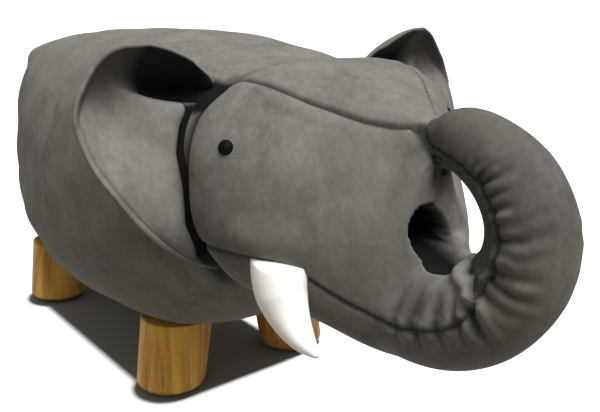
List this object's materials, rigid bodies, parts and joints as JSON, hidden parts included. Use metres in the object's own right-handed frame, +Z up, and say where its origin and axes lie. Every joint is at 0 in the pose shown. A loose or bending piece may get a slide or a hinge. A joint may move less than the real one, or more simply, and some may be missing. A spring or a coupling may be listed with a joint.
{
  "type": "elephant-shaped footstool",
  "caption": "Padded footstool in the shape of a standing elephant, with a barrel body as the seat, turned wooden legs, fabric ears, tusks and a raised curled trunk.",
  "frame": {"origin": "on the floor, in the middle of the overall box", "axes": "+X towards the trunk, +Y towards the elephant's left, +Z up; unit metre"},
  "size_m": [0.709, 0.3796, 0.336],
  "materials": {
    "cover": "short-pile suede-like cloth, warm dark grey",
    "lining": "black non-woven dust cloth",
    "tusk": "smooth off-white cloth",
    "filling": "loose white polyester fibre",
    "foam": "cut open-cell foam, pale yellow",
    "board": "unfinished plywood board",
    "batten": "sawn pine batten",
    "leg_wood": "turned solid wood with a satin honey-brown finish and upright grain",
    "steel": "zinc-plated steel",
    "glide": "moulded black plastic",
    "eye": "polished black plastic",
    "washer": "moulded natural plastic"
  },
  "bodies": {
    "stool": {"back_cover": "cover", "base_board": "board", "cheek_left": "cover", "cheek_right": "cover", "cover_staples": "steel", "dust_cover": "lining", "eye_left": "eye", "eye_right": "eye", "eye_washer_left": "washer", "eye_washer_right": "washer", "foot_glides": "glide", "frame_screws": "steel", "front_foam": "foam", "front_rib": "board", "hanger_bolts": "steel", "head_stuffing": "filling", "leg_front_left": "leg_wood", "leg_front_right": "leg_wood", "leg_rear_left": "leg_wood", "leg_rear_right": "leg_wood", "middle_rib": "board", "rear_foam": "foam", "rear_rib": "board", "rump_panel": "cover", "seat_board": "board", "seat_foam": "foam", "side_foam_left": "foam", "side_foam_right": "foam", "side_rail_left": "batten", "side_rail_right": "batten", "tee_nuts": "steel", "trunk_cover": "cover", "trunk_inner_strip": "cover", "trunk_stuffing": "filling", "tusk_left_cover": "tusk", "tusk_left_filling": "filling", "tusk_right_cover": "tusk", "tusk_right_filling": "filling"},
    "ear_left": {"ear_left_cover": "cover", "ear_left_padding": "filling"},
    "ear_right": {"ear_right_cover": "cover", "ear_right_padding": "filling"}
  },
  "joints": [
    {"name": "ear_left_hinge", "type": "hinge", "parent": "stool", "child": "ear_left", "pos_m": [0.1065, 0.106, 0.25], "axis": [0, 0, -1], "range_deg": [-10, 10], "stiffness_Nm_per_rad": 0.3},
    {"name": "ear_right_hinge", "type": "hinge", "parent": "stool", "child": "ear_right", "pos_m": [0.1065, -0.106, 0.25], "axis": [0, 0, 1], "range_deg": [-10, 10], "stiffness_Nm_per_rad": 0.3}
  ]
}
